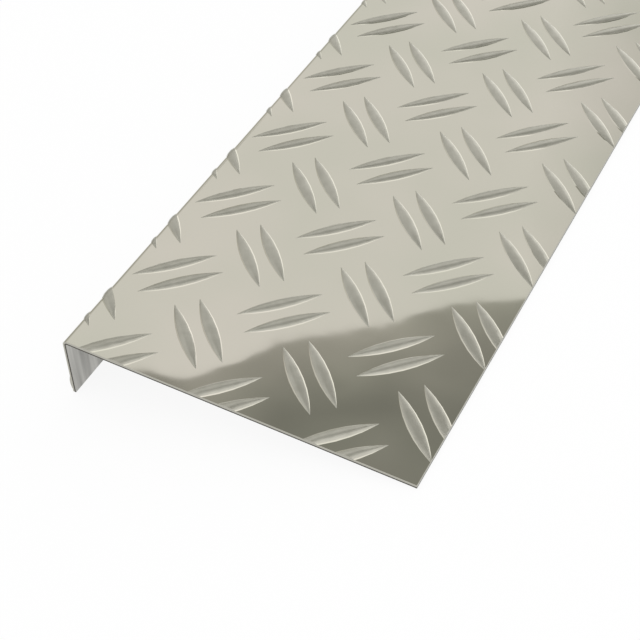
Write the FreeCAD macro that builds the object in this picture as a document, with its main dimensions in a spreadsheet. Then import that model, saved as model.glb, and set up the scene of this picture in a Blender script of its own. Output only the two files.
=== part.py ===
"""Embossed aluminium angle: a strip of tread plate folded once along its length.

The wide leg carries the tread face, and the short lip hangs from its long edge.
It is one folded sheet, so it is one body. It lies as it rests on a level floor:
on the foot of the lip and on the free edge of the wide leg.

Frame: +Y along the length, +X from the lip towards the free edge, +Z up, origin at
the centre of the ground under the piece.
"""
import FreeCAD, Part
import Sketcher
import os

NODE = "tread_plate_angle"

# Millimetres. The legs are measured over the outside of the fold.
DIMENSIONS = {
    "length": 1000.0,
    "wide_leg": 100.0,
    "lip": 20.0,
    "thickness": 1.0,
    "inside_bend_radius": 0.5,
}


def make_sheet(doc):
    """The spreadsheet that holds the driving dimensions."""
    sheet = doc.addObject("Spreadsheet::Sheet", "dimensions")
    for row, (alias, value) in enumerate(DIMENSIONS.items(), start=1):
        sheet.set(f"A{row}", alias)
        sheet.set(f"B{row}", str(value))
        sheet.setAlias(f"B{row}", alias)
    doc.recompute()
    return sheet


def origin_plane(body, role):
    """One of the body's own origin planes."""
    return next(plane for plane in body.Origin.OriginFeatures if plane.Role == role)


def draw_section(body):
    """The L of the section with sharp corners: x runs across the leg, y is up.

    The outside corner of the fold is the sketch's origin.
    """
    sketch = body.newObject("Sketcher::SketchObject", "section")
    sketch.AttachmentSupport = [(origin_plane(body, "XZ_Plane"), "")]
    sketch.MapMode = "FlatFace"
    wide, lip, thick = (DIMENSIONS[name] for name in ("wide_leg", "lip", "thickness"))
    corners = [(0, 0), (wide, 0), (wide, -thick), (thick, -thick), (thick, -lip), (0, -lip)]
    points = [FreeCAD.Vector(x, y, 0) for x, y in corners]
    for start, end in zip(points, points[1:] + points[:1]):
        sketch.addGeometry(Part.LineSegment(start, end), False)
    sides = len(points)
    for side in range(sides):
        sketch.addConstraint(Sketcher.Constraint("Coincident", side, 2, (side + 1) % sides, 1))
        direction = "Horizontal" if side % 2 == 0 else "Vertical"
        sketch.addConstraint(Sketcher.Constraint(direction, side))
    sketch.addConstraint(Sketcher.Constraint("Coincident", 0, 1, -1, 1))
    measured = {0: "wide_leg", 1: "thickness", 4: "thickness", 5: "lip"}
    for side, alias in measured.items():
        size = Sketcher.Constraint("Distance", side, DIMENSIONS[alias])
        index = sketch.addConstraint(size)
        sketch.setExpression(f"Constraints[{index}]", f"dimensions.{alias}")
    return sketch


def edge_along_length(shape, x, z):
    """The name of the straight edge that runs along Y through x, z."""
    for number, edge in enumerate(shape.Edges, start=1):
        box = edge.BoundBox
        if box.YLength > 1 and abs(box.XMin - x) < 1e-4 and abs(box.ZMin - z) < 1e-4:
            return f"Edge{number}"
    raise RuntimeError(f"no long edge at x {x}, z {z}")


def round_corner(body, base, name, x, z, radius):
    """A fillet along one corner of the fold, its radius an expression."""
    fillet = body.newObject("PartDesign::Fillet", name)
    fillet.Base = (base, [edge_along_length(base.Shape, x, z)])
    fillet.setExpression("Radius", radius)
    body.Document.recompute()
    return fillet


def lay_on_ground(body):
    """Tilt the angle onto the lip's foot and the leg's free edge, and centre it."""
    tilt = "atan((dimensions.lip - dimensions.thickness) / (dimensions.wide_leg - dimensions.thickness))"
    body.Placement = FreeCAD.Placement(FreeCAD.Vector(), FreeCAD.Rotation(FreeCAD.Vector(0, 1, 0), 1))
    body.setExpression("Placement.Rotation.Angle", tilt)
    body.setExpression(
        "Placement.Base.x",
        f"1 mm * (dimensions.lip * sin({tilt}) - dimensions.wide_leg * cos({tilt})) / 2",
    )
    body.setExpression(
        "Placement.Base.z",
        f"1 mm * (dimensions.thickness * sin({tilt}) + dimensions.lip * cos({tilt}))",
    )


def make_angle(doc):
    body = doc.addObject("PartDesign::Body", NODE)
    body.Label = NODE
    sketch = draw_section(body)
    pad = body.newObject("PartDesign::Pad", "folded_strip")
    pad.Profile = sketch
    pad.SideType = "Symmetric"
    pad.setExpression("Length", "dimensions.length")
    sketch.Visibility = False
    doc.recompute()
    thick = DIMENSIONS["thickness"]
    inside = round_corner(body, pad, "inside_of_fold", thick, -thick, "dimensions.inside_bend_radius")
    round_corner(
        body, inside, "outside_of_fold", 0, 0, "dimensions.inside_bend_radius + dimensions.thickness"
    )
    lay_on_ground(body)
    doc.recompute()
    return body


def check(doc, body):
    for item in doc.Objects:
        if "Invalid" in item.State or "Error" in item.State:
            raise RuntimeError(f"{item.Name} failed: {item.State}")
    if body.Shape.isNull() or not body.Shape.isValid():
        raise RuntimeError(f"{body.Label} has no valid shape")


def main():
    doc = FreeCAD.newDocument("embossed_angle")
    make_sheet(doc)
    body = make_angle(doc)
    check(doc, body)
    os.makedirs("parts", exist_ok=True)
    body.Shape.exportStep(f"parts/{NODE}.step")
    box = body.Shape.BoundBox
    print(f"{NODE}: {box.XLength:.3f} x {box.YLength:.3f} x {box.ZLength:.3f} mm")
    print(f"x {box.XMin:.4f} {box.XMax:.4f} y {box.YMin:.3f} {box.YMax:.3f} z {box.ZMin:.4f} {box.ZMax:.4f}")
    print(f"volume {body.Shape.Volume:.3f} mm3, solids {len(body.Shape.Solids)}")


main()
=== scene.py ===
"""Embossed aluminium angle: tread sheet folded once along its length.

The piece is made as the real one is. A flat strip of tread sheet is laid out with its
crossed pairs of raised lugs, trimmed to the strip's outline, folded into the angle, and
laid on the ground as it rests.
"""
import math

import bmesh
import bpy
from mathutils import Matrix, Vector


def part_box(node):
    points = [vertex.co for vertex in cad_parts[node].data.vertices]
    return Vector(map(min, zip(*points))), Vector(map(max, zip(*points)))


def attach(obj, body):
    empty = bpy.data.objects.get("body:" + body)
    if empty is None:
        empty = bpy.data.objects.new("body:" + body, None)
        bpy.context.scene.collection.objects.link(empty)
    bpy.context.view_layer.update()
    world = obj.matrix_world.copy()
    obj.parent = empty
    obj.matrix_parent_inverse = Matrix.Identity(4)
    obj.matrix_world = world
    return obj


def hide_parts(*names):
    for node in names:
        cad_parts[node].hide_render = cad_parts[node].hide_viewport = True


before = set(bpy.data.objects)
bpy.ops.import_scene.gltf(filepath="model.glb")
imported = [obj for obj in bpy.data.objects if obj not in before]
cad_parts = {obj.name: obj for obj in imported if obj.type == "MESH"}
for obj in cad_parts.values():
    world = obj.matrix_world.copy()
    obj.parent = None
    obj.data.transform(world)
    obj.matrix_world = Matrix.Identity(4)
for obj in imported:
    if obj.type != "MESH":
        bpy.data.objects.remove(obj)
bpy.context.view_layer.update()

MM = 0.001
NODE = "tread_plate_angle"

# The folded sheet, in metres. The legs are measured over the outside of the fold.
WIDE_LEG = 100 * MM
LIP = 20 * MM
THICKNESS = 1.0 * MM
OUTSIDE_RADIUS = 1.5 * MM
FOLD_ARC = OUTSIDE_RADIUS * math.pi / 2
FOLD_STEPS = 8
FOLD_MARGIN = 0.1 * MM

# How near two points count as one, and how near a point counts as on a cut.
SAME_POINT = 0.001 * MM
ON_THE_CUT = 0.0001 * MM

# The tread pattern: pairs of lens-shaped lugs, every other row of pairs turned across the last.
PITCH = 22.9 * MM
ROW_STEP = PITCH / math.sqrt(2)
LUG_LENGTH = 23.9 * MM
LUG_WIDTH = 4.1 * MM
LUG_HEIGHT = 0.45 * MM
LUG_GAP = 6.8 * MM
LUG_SINK = 0.05 * MM
PATTERN_ACROSS = 45.9 * MM
PATTERN_ALONG = 34.3 * MM

# The strip lies flat with x along its length, y across it from the fold line and z up.
# The fold line is where the wide leg's flat outside ends.
LOW, HIGH = (Vector(corner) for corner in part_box(NODE))
LENGTH = HIGH.y - LOW.y
FREE_EDGE = WIDE_LEG - OUTSIDE_RADIUS
LIP_EDGE = -(FOLD_ARC + LIP - OUTSIDE_RADIUS)
TILT = math.atan((LIP - THICKNESS) / (WIDE_LEG - THICKNESS))
LEG_TO_GROUND = Matrix.Translation((
    LOW.x + LIP * math.sin(TILT),
    LOW.y,
    THICKNESS * math.sin(TILT) + LIP * math.cos(TILT),
)) @ Matrix.Rotation(TILT, 4, "Y")


# Helpers --------------------------------------------------------------------------------

def linear(hex_colour):
    """A shader colour from an sRGB hex value."""
    channels = [int(hex_colour[start:start + 2], 16) / 255 for start in (1, 3, 5)]
    curve = [c / 12.92 if c <= 0.04045 else ((c + 0.055) / 1.055) ** 2.4 for c in channels]
    return (*curve, 1.0)


def add_node(tree, kind, settings=None, **inputs):
    """Add a node; settings are its properties, inputs are its sockets by name.

    An input is either a value or the output socket that feeds it. A name that ends in a
    number, such as Value_1, means the socket at that place.
    """
    node = tree.nodes.new(kind)
    for name, value in (settings or {}).items():
        setattr(node, name, value)
    for name, value in inputs.items():
        base, _, place = name.rpartition("_")
        socket = node.inputs[int(place)] if place.isdigit() else node.inputs[name.replace("_", " ")]
        if isinstance(value, bpy.types.NodeSocket):
            tree.links.new(value, socket)
        else:
            socket.default_value = value
    return node


def in_leg(x, y, z):
    """A point given across the wide leg from the lip, along from the near end, and above it."""
    return LEG_TO_GROUND @ Vector((x, y, z))


# Tread pattern --------------------------------------------------------------------------

LUG_STATIONS = 10
CROWN_EDGE = 0.78
CROWN_EDGE_RISE = 0.38
CROWN_MIDDLE = 0.3
CREST_FULLNESS = 0.6
LUG_STRIPS = (-1, -CROWN_EDGE, -CROWN_MIDDLE, CROWN_MIDDLE, CROWN_EDGE, 1)


def lug_outline(along):
    """The lug's half width at a place from -1 to 1 along it: two arcs that meet in points."""
    return LUG_WIDTH / 2 * (1 - along ** 2)


def lug_rise(across):
    """How high the lug stands, as a share of its height, at a place from -1 to 1 across it.

    Two steep flanks carry a low, evenly curved crown.
    """
    across = abs(across)
    if across > CROWN_EDGE:
        return CROWN_EDGE_RISE * (1 - across) / (1 - CROWN_EDGE)
    return 1 - (1 - CROWN_EDGE_RISE) * (across / CROWN_EDGE) ** 2


def make_lug():
    """One raised lug, lying along x and closed under the surface; its crown is marked."""
    shape = bmesh.new()
    stations = [-math.cos(math.pi * step / LUG_STATIONS) for step in range(LUG_STATIONS + 1)]
    top = []
    for along in stations:
        rise = (LUG_HEIGHT + LUG_SINK) * (1 - min(along ** 2, 1)) ** CREST_FULLNESS
        top.append([
            shape.verts.new((
                along * LUG_LENGTH / 2,
                across * lug_outline(along),
                rise * lug_rise(across) - LUG_SINK,
            ))
            for across in LUG_STRIPS
        ])
    last = len(LUG_STRIPS) - 1
    for here, there in zip(top, top[1:]):
        for strip in range(last):
            face = shape.faces.new((here[strip], there[strip], there[strip + 1], here[strip + 1]))
            face.material_index = int(0 < strip < last - 1)
    bmesh.ops.remove_doubles(shape, verts=shape.verts, dist=SAME_POINT)
    bmesh.ops.holes_fill(shape, edges=shape.edges)
    for face in shape.faces:
        face.smooth = len(face.verts) <= 4
    for edge in shape.edges:
        edge.smooth = all(face.smooth for face in edge.link_faces)
    bmesh.ops.recalc_face_normals(shape, faces=shape.faces)
    mesh = bpy.data.meshes.new("lug")
    shape.to_mesh(mesh)
    crown = mesh.attributes.new("crown", "BOOLEAN", "FACE")
    crown.data.foreach_set("value", [face.material_index == 1 for face in shape.faces])
    shape.free()
    lug = bpy.data.objects.new("lug", mesh)
    bpy.context.scene.collection.objects.link(lug)
    return lug


def tread_tree():
    """Lay pairs of lugs over a grid of rows, turning every other row of pairs across the last."""
    tree = bpy.data.node_groups.new("tread pattern", "GeometryNodeTree")
    for name, kind in (
        ("Lug", "NodeSocketObject"), ("Row step", "NodeSocketFloat"), ("Gap", "NodeSocketFloat"),
        ("Columns", "NodeSocketInt"), ("Rows", "NodeSocketInt"), ("Origin", "NodeSocketVector"),
        ("Flank", "NodeSocketMaterial"), ("Crown", "NodeSocketMaterial"),
    ):
        tree.interface.new_socket(name, in_out="INPUT", socket_type=kind)
    tree.interface.new_socket("Mesh", in_out="OUTPUT", socket_type="NodeSocketGeometry")
    given = tree.nodes.new("NodeGroupInput").outputs

    lug = add_node(tree, "GeometryNodeObjectInfo", Object=given["Lug"]).outputs["Geometry"]
    pair = tree.nodes.new("GeometryNodeJoinGeometry")
    for side in (0.5, -0.5):
        offset = add_node(tree, "ShaderNodeMath", {"operation": "MULTIPLY"},
                          Value_0=given["Gap"], Value_1=side)
        place = add_node(tree, "ShaderNodeCombineXYZ", Y=offset.outputs[0])
        moved = add_node(tree, "GeometryNodeTransform", Geometry=lug, Translation=place.outputs[0])
        tree.links.new(moved.outputs[0], pair.inputs[0])

    # Points count out from the corner of the grid: a whole number of row steps each way.
    number = tree.nodes.new("GeometryNodeInputIndex").outputs[0]
    column = add_node(tree, "ShaderNodeMath", {"operation": "MODULO"},
                      Value_0=number, Value_1=given["Columns"])
    row = add_node(tree, "ShaderNodeMath", {"operation": "DIVIDE"},
                   Value_0=number, Value_1=given["Columns"])
    row = add_node(tree, "ShaderNodeMath", {"operation": "FLOOR"}, Value_0=row.outputs[0])
    odd = add_node(tree, "ShaderNodeMath", {"operation": "MODULO"},
                   Value_0=row.outputs[0], Value_1=2.0)
    steps_along = add_node(tree, "ShaderNodeMath", {"operation": "MULTIPLY_ADD"},
                           Value_0=column.outputs[0], Value_1=2.0, Value_2=odd.outputs[0])
    place = add_node(tree, "ShaderNodeCombineXYZ", X=steps_along.outputs[0], Y=row.outputs[0])
    place = add_node(tree, "ShaderNodeVectorMath", {"operation": "SCALE"},
                     Vector=place.outputs[0], Scale=given["Row step"])
    place = add_node(tree, "ShaderNodeVectorMath", {"operation": "ADD"},
                     Vector_0=place.outputs[0], Vector_1=given["Origin"])
    count = add_node(tree, "ShaderNodeMath", {"operation": "MULTIPLY"},
                     Value_0=given["Columns"], Value_1=given["Rows"])
    points = add_node(tree, "GeometryNodePoints", Count=count.outputs[0], Position=place.outputs[0])
    turn = add_node(tree, "ShaderNodeMath", {"operation": "MULTIPLY_ADD"},
                    Value_0=odd.outputs[0], Value_1=-math.pi / 2, Value_2=math.pi / 4)
    turn = add_node(tree, "ShaderNodeCombineXYZ", Z=turn.outputs[0])
    spread = add_node(tree, "GeometryNodeInstanceOnPoints", Points=points.outputs[0],
                      Instance=pair.outputs[0], Rotation=turn.outputs[0])
    real = add_node(tree, "GeometryNodeRealizeInstances", Geometry=spread.outputs[0])
    flank = add_node(tree, "GeometryNodeSetMaterial",
                     Geometry=real.outputs[0], Material=given["Flank"])
    marked = add_node(tree, "GeometryNodeInputNamedAttribute", {"data_type": "BOOLEAN"},
                      Name="crown")
    coated = add_node(tree, "GeometryNodeSetMaterial", Geometry=flank.outputs[0],
                      Selection=marked.outputs["Attribute"], Material=given["Crown"])
    tree.links.new(coated.outputs[0], tree.nodes.new("NodeGroupOutput").inputs[0])
    return tree


def lay_out_tread(flank, crown):
    """The whole tread pattern over the flat strip and a little past it, as one mesh."""
    lug = make_lug()
    # Even rows hold lugs that point up across the strip, so the first row is an even one.
    rows_before = 2 * math.ceil((PATTERN_ACROSS - OUTSIDE_RADIUS - LIP_EDGE) / ROW_STEP / 2)
    rows_after = math.ceil((FREE_EDGE - PATTERN_ACROSS) / ROW_STEP) + 2
    columns_before = math.ceil(PATTERN_ALONG / ROW_STEP / 2) + 1
    columns = math.ceil(LENGTH / ROW_STEP / 2) + 2
    origin = Vector((
        PATTERN_ALONG - columns_before * 2 * ROW_STEP,
        PATTERN_ACROSS - OUTSIDE_RADIUS - rows_before * ROW_STEP,
        0,
    ))
    tread = bpy.data.objects.new("tread", bpy.data.meshes.new("tread"))
    bpy.context.scene.collection.objects.link(tread)
    modifier = tread.modifiers.new("tread", "NODES")
    modifier.node_group = tread_tree()
    wanted = {
        "Lug": lug, "Row step": ROW_STEP, "Gap": LUG_GAP, "Columns": columns,
        "Rows": rows_before + rows_after, "Origin": origin, "Flank": flank, "Crown": crown,
    }
    for item in modifier.node_group.interface.items_tree:
        if item.in_out == "INPUT":
            modifier[item.identifier] = wanted[item.name]
    evaluated = tread.evaluated_get(bpy.context.evaluated_depsgraph_get())
    mesh = bpy.data.meshes.new_from_object(evaluated)
    bpy.data.objects.remove(tread)
    bpy.data.objects.remove(lug)
    return mesh


# Sheet ----------------------------------------------------------------------------------

TRIM = 0.08 * MM
EDGE_ROUND = 0.12 * MM
BURNISHED_DEPTH = 0.55 * MM
SHARP_TURN = math.radians(40)
TREAD, CROWN, UNDERSIDE, CUT, TORN_BAND_PAINTED_SHADE = range(5)


def cut_plane(shape, point, normal, trim=False):
    """Cut every face along a plane; with trim, drop what is past it and close the cut."""
    geometry = shape.verts[:] + shape.edges[:] + shape.faces[:]
    result = bmesh.ops.bisect_plane(
        shape, geom=geometry, plane_co=point, plane_no=normal, dist=ON_THE_CUT, clear_outer=trim
    )
    if trim:
        edges = [item for item in result["geom_cut"] if isinstance(item, bmesh.types.BMEdge)]
        made = bmesh.ops.holes_fill(shape, edges=edges)
        for face in made["faces"]:
            face.smooth = False
            face.material_index = CUT
            for edge in face.edges:
                edge.smooth = False


def trim_tread(shape):
    """Cut the lugs off where the strip is cut: at both ends and both long edges."""
    for point, normal in (
        ((TRIM, 0, 0), (-1, 0, 0)),
        ((LENGTH - TRIM, 0, 0), (1, 0, 0)),
        ((0, LIP_EDGE + TRIM, 0), (0, -1, 0)),
        ((0, FREE_EDGE - TRIM, 0), (0, 1, 0)),
    ):
        cut_plane(shape, point, normal, trim=True)


def make_blank():
    """The flat strip under the lugs, its upper edges rounded by the shear."""
    shape = bmesh.new()
    middle = (LENGTH / 2, (FREE_EDGE + LIP_EDGE) / 2, -THICKNESS / 2)
    size = (LENGTH, FREE_EDGE - LIP_EDGE, THICKNESS)
    stretch = Matrix.Translation(middle) @ Matrix.Diagonal((*size, 1))
    bmesh.ops.create_cube(shape, size=1, matrix=stretch)
    upper = [edge for edge in shape.edges if all(vert.co.z > -THICKNESS / 2 for vert in edge.verts)]
    bmesh.ops.bevel(shape, geom=upper, offset=EDGE_ROUND, segments=2, profile=0.5, affect="EDGES")
    cut_plane(shape, (0, 0, -BURNISHED_DEPTH), (0, 0, 1))
    # Under the burnished band the cut face takes the torn finish, whose dark colour is partly painted
    # shade.
    for face in shape.faces:
        face.normal_update()
        if face.normal.z > 0.99:
            face.material_index = TREAD
        elif face.normal.z < -0.99:
            face.material_index = UNDERSIDE
        elif face.calc_center_median().z < -BURNISHED_DEPTH:
            face.material_index = TORN_BAND_PAINTED_SHADE
        else:
            face.material_index = CUT
    return shape


def fold(point):
    """Where a point of the flat strip lies once the lip is folded down.

    In and out of the fold the strip is straight, and in it the outside face is an arc.
    """
    along, across, above = point
    if across >= 0:
        x, z = OUTSIDE_RADIUS + across, above
    elif across > -FOLD_ARC:
        turn = -across / OUTSIDE_RADIUS
        x = OUTSIDE_RADIUS - (OUTSIDE_RADIUS + above) * math.sin(turn)
        z = -OUTSIDE_RADIUS + (OUTSIDE_RADIUS + above) * math.cos(turn)
    else:
        x, z = -above, -OUTSIDE_RADIUS + across + FOLD_ARC
    return LEG_TO_GROUND @ Vector((x, along, z))


def fold_lines():
    """Where the strip is divided so that it folds in a smooth arc, with a line just outside."""
    inside = [-FOLD_ARC * step / FOLD_STEPS for step in range(FOLD_STEPS + 1)]
    return [FOLD_MARGIN, *inside, -FOLD_ARC - FOLD_MARGIN]


def make_sheet(materials):
    """The whole angle: the strip and its lugs, trimmed, folded and laid on the ground."""
    shape = make_blank()
    tread = bmesh.new()
    pattern = lay_out_tread(materials[TREAD], materials[CROWN])
    tread.from_mesh(pattern)
    for face in tread.faces:
        face.material_index = materials.index(pattern.materials[face.material_index])
    trim_tread(tread)
    mesh = bpy.data.meshes.new("embossed_sheet")
    tread.to_mesh(mesh)
    tread.free()
    shape.from_mesh(mesh)
    for line in fold_lines():
        cut_plane(shape, (0, line, 0), (0, 1, 0))
    for face in shape.faces:
        middle = face.calc_center_median()
        if len(face.verts) == 4 and -FOLD_ARC - 2 * FOLD_MARGIN < middle.y < 2 * FOLD_MARGIN:
            face.smooth = True
    for vert in shape.verts:
        vert.co = fold(vert.co)
    # Folding swaps the strip's two level axes, which turns its faces inward, so they turn back.
    bmesh.ops.reverse_faces(shape, faces=shape.faces)
    for edge in shape.edges:
        if len(edge.link_faces) == 2 and edge.calc_face_angle(0) > SHARP_TURN:
            edge.smooth = False
    shape.to_mesh(mesh)
    shape.free()
    for material in materials:
        mesh.materials.append(material)
    piece = bpy.data.objects.new("embossed_sheet", mesh)
    bpy.context.scene.collection.objects.link(piece)
    return piece


# Finishes -------------------------------------------------------------------------------

def new_material(name):
    """A material with an empty node tree but for its shader, and the shader's node."""
    material = bpy.data.materials.new(name)
    material.use_nodes = True
    tree = material.node_tree
    tree.nodes.clear()
    shader = tree.nodes.new("ShaderNodeBsdfPrincipled")
    output = tree.nodes.new("ShaderNodeOutputMaterial")
    tree.links.new(shader.outputs[0], output.inputs[0])
    return material, tree, shader


def rolled_aluminium():
    """Bright rolled aluminium, uncoated: almost a mirror, faintly warm, with soft waves."""
    material, tree, shader = new_material("bright rolled aluminium")
    shader.inputs["Metallic"].default_value = 1.0
    place = tree.nodes.new("ShaderNodeTexCoord").outputs["Object"]
    cloud = add_node(tree, "ShaderNodeTexNoise", Vector=place, Scale=1 / (45 * MM), Detail=2.0)
    tint = add_node(tree, "ShaderNodeValToRGB", Fac=cloud.outputs[0])
    tint.color_ramp.elements[0].position = 0.35
    tint.color_ramp.elements[0].color = linear("#C3C1B3")
    tint.color_ramp.elements[1].position = 0.7
    tint.color_ramp.elements[1].color = linear("#CBC6BA")
    tree.links.new(tint.outputs[0], shader.inputs["Base Color"])
    haze = add_node(tree, "ShaderNodeTexNoise", Vector=place, Scale=1 / (12 * MM), Detail=3.0)
    gloss = add_node(tree, "ShaderNodeMapRange", Value=haze.outputs[0], To_Min=0.025, To_Max=0.055)
    tree.links.new(gloss.outputs[0], shader.inputs["Roughness"])
    wave = add_node(tree, "ShaderNodeTexNoise", Vector=place, Scale=1 / (30 * MM), Detail=1.0)
    slow = add_node(tree, "ShaderNodeBump", Height=wave.outputs[0], Distance=0.15 * MM)
    ripple = add_node(tree, "ShaderNodeTexNoise", Vector=place, Scale=1 / (11 * MM), Detail=1.0)
    bump = add_node(tree, "ShaderNodeBump", Height=ripple.outputs[0], Distance=0.016 * MM,
                    Normal=slow.outputs[0])
    tree.links.new(bump.outputs[0], shader.inputs["Normal"])
    return material


def lug_crown_with_painted_shade():
    """The crown of a lug, left finely matt by the roll, which blurs the room it reflects; its darker
    colour is painted shade that makes it a soft grey.
    """
    material, tree, shader = new_material("matt lug crown with painted shade")
    shader.inputs["Metallic"].default_value = 1.0
    place = tree.nodes.new("ShaderNodeTexCoord").outputs["Object"]
    cloud = add_node(tree, "ShaderNodeTexNoise", Vector=place, Scale=1 / (3 * MM), Detail=3.0)
    # These tints are darker than the sheet's as painted shade.
    tint = add_node(tree, "ShaderNodeValToRGB", Fac=cloud.outputs[0])
    tint.color_ramp.elements[0].position = 0.3
    tint.color_ramp.elements[0].color = linear("#ADABA0")
    tint.color_ramp.elements[1].position = 0.7
    tint.color_ramp.elements[1].color = linear("#B8B6AB")
    tree.links.new(tint.outputs[0], shader.inputs["Base Color"])
    shader.inputs["Roughness"].default_value = 0.34
    return material


def underside_with_painted_shade():
    """The plain side of the same sheet: duller, and greyer by painted shade for the shaded floor
    inside the angle that it reflects, with faint streaks across its length.
    """
    material, tree, shader = new_material("plain underside with painted shade")
    shader.inputs["Metallic"].default_value = 1.0
    place = tree.nodes.new("ShaderNodeTexCoord").outputs["Object"]
    stretch = add_node(tree, "ShaderNodeMapping", Vector=place,
                       Scale=(1 / (60 * MM), 1 / (3 * MM), 1 / (60 * MM)))
    streak = add_node(tree, "ShaderNodeTexNoise", Vector=stretch.outputs[0], Scale=1.0, Detail=3.0)
    # These tints are darkened as painted shade: the floor this side reflects lies in the angle's
    # shadow.
    tint = add_node(tree, "ShaderNodeValToRGB", Fac=streak.outputs[0])
    tint.color_ramp.elements[0].position = 0.35
    tint.color_ramp.elements[0].color = linear("#868581")
    tint.color_ramp.elements[1].position = 0.65
    tint.color_ramp.elements[1].color = linear("#B4B3AE")
    tree.links.new(tint.outputs[0], shader.inputs["Base Color"])
    shader.inputs["Roughness"].default_value = 0.28
    return material


def sheared_edge(name, colour, roughness):
    """One band of the cut edge: the blade burnishes the upper part and tears the lower."""
    material, tree, shader = new_material(name)
    shader.inputs["Metallic"].default_value = 1.0
    shader.inputs["Roughness"].default_value = roughness
    shader.inputs["Base Color"].default_value = linear(colour)
    return material


# Stage ----------------------------------------------------------------------------------

def add_card(name, outline, shades, spread=0.25, mottle=0.0):
    """A flat card of the stage, seen only in the metal.

    The outline's second half runs back beside its first. The card shades from one colour
    at the first to the other, which it reaches at a share of the way to the second.
    """
    mesh = bpy.data.meshes.new(name)
    half = len(outline) // 2
    last = len(outline) - 1
    mesh.from_pydata(outline, [], [
        (step, step + 1, last - 1 - step, last - step) for step in range(half - 1)
    ])
    across = mesh.uv_layers.new(name="across")
    for loop in mesh.loops:
        across.data[loop.index].uv = (0.0 if loop.vertex_index < half else 1.0, 0.0)
    material = bpy.data.materials.new(name)
    material.use_nodes = True
    tree = material.node_tree
    tree.nodes.clear()
    places = tree.nodes.new("ShaderNodeTexCoord").outputs
    share = add_node(tree, "ShaderNodeSeparateXYZ", Vector=places["UV"])
    shade = add_node(tree, "ShaderNodeValToRGB", Fac=share.outputs[0])
    shade.color_ramp.elements[0].color = linear(shades[0])
    shade.color_ramp.elements[1].color = linear(shades[1])
    shade.color_ramp.elements[1].position = spread
    cloud = add_node(tree, "ShaderNodeTexNoise", Vector=places["Object"],
                     Scale=1 / (90 * MM), Detail=1.0)
    folds = add_node(tree, "ShaderNodeMapRange", Value=cloud.outputs[0], From_Min=0.3, From_Max=0.7,
                     To_Min=1 - mottle, To_Max=1 + mottle)
    shine = add_node(tree, "ShaderNodeEmission", Color=shade.outputs[0], Strength=folds.outputs[0])
    output = tree.nodes.new("ShaderNodeOutputMaterial")
    tree.links.new(shine.outputs[0], output.inputs[0])
    mesh.materials.append(material)
    card = bpy.data.objects.new(name, mesh)
    bpy.context.scene.collection.objects.link(card)
    card.visible_camera = False
    card.visible_shadow = False
    card.visible_diffuse = False


# Each soft fold of the cloth's hem, in mm: where along the hem, how far out, half its width.
HEM_FOLDS = ((-80, -8, 40), (40, 22, 28), (78, 12, 30), (200, 12, 55), (290, -6, 32), (430, 6, 70))


def hem_swing(run):
    """How far out the hem hangs at a place along it, both in mm: its folds added up."""
    return sum(out * math.exp(-((run - middle) / width) ** 2) for middle, out, width in HEM_FOLDS)


def add_hanging_cloth():
    """A grey cloth hangs level above the far side; its wavy hem shows in the near corner."""
    height = 600 * MM
    corner = Vector((-324 * MM, 417 * MM))
    along = Vector((0.756, 0.654))
    across = Vector((along.y, -along.x))
    start, end, step, reach = -75, 700, 5, 330
    runs = range(start, end + 1, step)
    hem = [(run, hem_swing(run)) for run in runs]
    back = [(run, reach) for run in reversed(runs)]
    outline = []
    for run, out in hem + back:
        point = corner + along * run * MM + across * out * MM
        outline.append(in_leg(point.x, point.y, height))
    add_card("grey cloth", outline, ("#B9B9B4", "#9A9B96"), mottle=0.16)


def add_side_card():
    """A pale card at the lip's side tones the flanks that face it; its foot darkens their ends.

    The card pales upward and its foot pales toward the far end, so neither shows an edge.
    """
    aside, near, far, foot_far = (span * MM for span in (-700, -500, 3000, 1600))
    foot, low, high = (span * MM for span in (30, 260, 1000))
    for name, dark, corners in (
        ("side card", "#C8C7BF", ((near, low), (far, low), (far, high), (near, high))),
        ("side card foot", "#62625C", ((near, foot), (near, low), (foot_far, low), (foot_far, foot))),
    ):
        outline = [in_leg(aside, y, z) for y, z in corners]
        add_card(name, outline, (dark, "#FFFFFF"), spread=1.0)


def add_far_card():
    """A tall card far beyond the far end greys the flanks and crowns that face along the angle."""
    near = Vector((50 * MM, 80 * MM))
    distance, low, high = 6.0, 3.7, 10.4
    left, right = (
        near + distance * Vector((-math.sin(turn), math.cos(turn)))
        for turn in (math.radians(16), math.radians(-8))
    )
    corners = ((left, low), (left, high), (right, high), (right, low))
    outline = [in_leg(*side, height) for side, height in corners]
    add_card("far card", outline, ("#FFFFFF", "#9A9A94"), spread=0.9)


def add_floor():
    """A floor that shows nearly white to the camera and in metal, and keeps a faint shadow."""
    mesh = bpy.data.meshes.new("floor")
    reach, glow_share = 4.0, 0.9
    corners = [(-reach, -reach, 0), (reach, -reach, 0), (reach, reach, 0), (-reach, reach, 0)]
    mesh.from_pydata(corners, [], [(0, 1, 2, 3)])
    material, tree, shader = new_material("white floor")
    shader.inputs["Base Color"].default_value = linear("#F4F4F4")
    shader.inputs["Roughness"].default_value = 0.9
    rays = tree.nodes.new("ShaderNodeLightPath").outputs
    white = add_node(tree, "ShaderNodeEmission", Color=linear("#FFFFFF"), Strength=1.0)
    seen = rays["Is Camera Ray"]
    for kind in ("Is Glossy Ray", "Is Transmission Ray"):
        either = add_node(tree, "ShaderNodeMath", {"operation": "MAXIMUM"},
                          Value_0=seen, Value_1=rays[kind])
        seen = either.outputs[0]
    part = add_node(tree, "ShaderNodeMath", {"operation": "MULTIPLY"},
                    Value_0=seen, Value_1=glow_share)
    mix = tree.nodes.new("ShaderNodeMixShader")
    tree.links.new(part.outputs[0], mix.inputs[0])
    tree.links.new(shader.outputs[0], mix.inputs[1])
    tree.links.new(white.outputs[0], mix.inputs[2])
    output = next(node for node in tree.nodes if node.type == "OUTPUT_MATERIAL")
    tree.links.new(mix.outputs[0], output.inputs[0])
    mesh.materials.append(material)
    floor = bpy.data.objects.new("floor", mesh)
    bpy.context.scene.collection.objects.link(floor)


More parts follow.
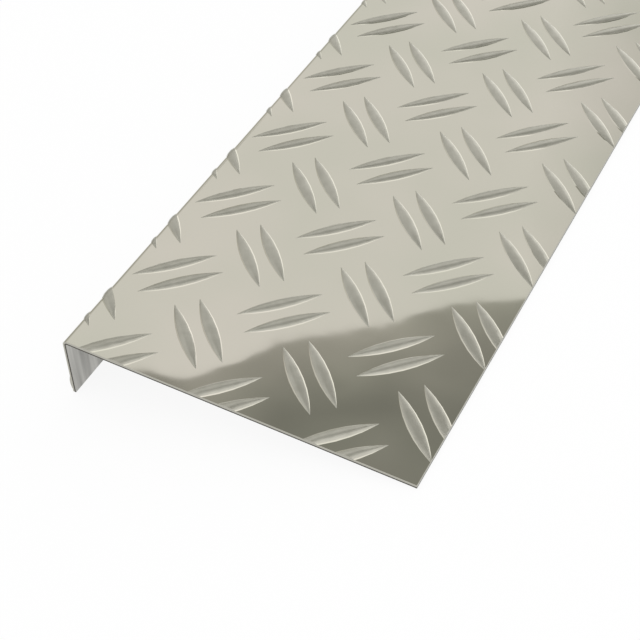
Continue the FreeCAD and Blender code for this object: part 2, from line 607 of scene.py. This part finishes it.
def add_world():
    """An even white room, as the floor and the metal see it and as it shows behind them."""
    world = bpy.data.worlds.new("studio")
    bpy.context.scene.world = world
    world.use_nodes = True
    background = world.node_tree.nodes["Background"]
    background.inputs["Color"].default_value = linear("#FFFFFF")
    background.inputs["Strength"].default_value = 1.0


def add_softbox(name, place, aim, size, brightness):
    """An even rectangle of light; a brightness of 1 shows as white in a mirror."""
    lamp = bpy.data.lights.new(name, "AREA")
    lamp.shape = "RECTANGLE"
    lamp.size, lamp.size_y = size
    lamp.energy = brightness * math.pi * lamp.size * lamp.size_y
    softbox = bpy.data.objects.new(name, lamp)
    softbox.location = place
    softbox.rotation_euler = (aim - place).to_track_quat("-Z", "Y").to_euler()
    bpy.context.scene.collection.objects.link(softbox)


def add_camera():
    """Looks down along the angle from beside its near end."""
    lens = bpy.data.cameras.new("camera")
    lens.sensor_width = 36
    lens.lens = 75.4
    lens.clip_start = 0.01
    camera = bpy.data.objects.new("camera", lens)
    bpy.context.scene.collection.objects.link(camera)
    place = in_leg(168.2 * MM, -172.7 * MM, 252.7 * MM)
    elevation, heading, roll = (math.radians(angle) for angle in (46.76, -28.32, -0.87))
    ahead = Vector((
        math.sin(heading) * math.cos(elevation),
        math.cos(heading) * math.cos(elevation),
        -math.sin(elevation),
    ))
    level = ahead.cross(Vector((0, 0, 1))).normalized()
    right = Matrix.Rotation(roll, 3, -ahead) @ level
    up = right.cross(ahead)
    axes = Matrix((right, up, -ahead)).transposed()
    leg_turn = LEG_TO_GROUND.to_3x3().to_4x4()
    camera.matrix_world = Matrix.Translation(place) @ leg_turn @ axes.to_4x4()
    bpy.context.scene.camera = camera


def build_stage():
    add_floor()
    add_world()
    add_softbox("overhead softbox", in_leg(220 * MM, 60 * MM, 1100 * MM),
                aim=in_leg(50 * MM, 100 * MM, 0), size=(0.9, 0.9), brightness=0.34)
    add_softbox("end softbox", in_leg(60 * MM, 6000 * MM, 1800 * MM),
                aim=in_leg(50 * MM, 200 * MM, 100 * MM), size=(4.4, 3.0), brightness=0.5)
    add_hanging_cloth()
    add_side_card()
    add_far_card()


# Assembly -------------------------------------------------------------------------------

def main():
    view = bpy.context.scene.view_settings
    view.view_transform = "Standard"
    add_camera()
    build_stage()
    sheet = make_sheet([
        rolled_aluminium(),
        # The crown's darker tint is painted shade that greys it beside the sheet.
        lug_crown_with_painted_shade(),
        # The underside's darker tints are painted shade for the shaded floor it reflects inside the
        # angle.
        underside_with_painted_shade(),
        sheared_edge("burnished shear band", "#B4B2A8", 0.3),
        # The torn band is the duller fracture, made darker by painted shade for the dark that the cut
        # face reflects.
        sheared_edge("torn shear band with painted shade", "#57554E", 0.5),
    ])
    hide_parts(NODE)
    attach(sheet, "root")


main()
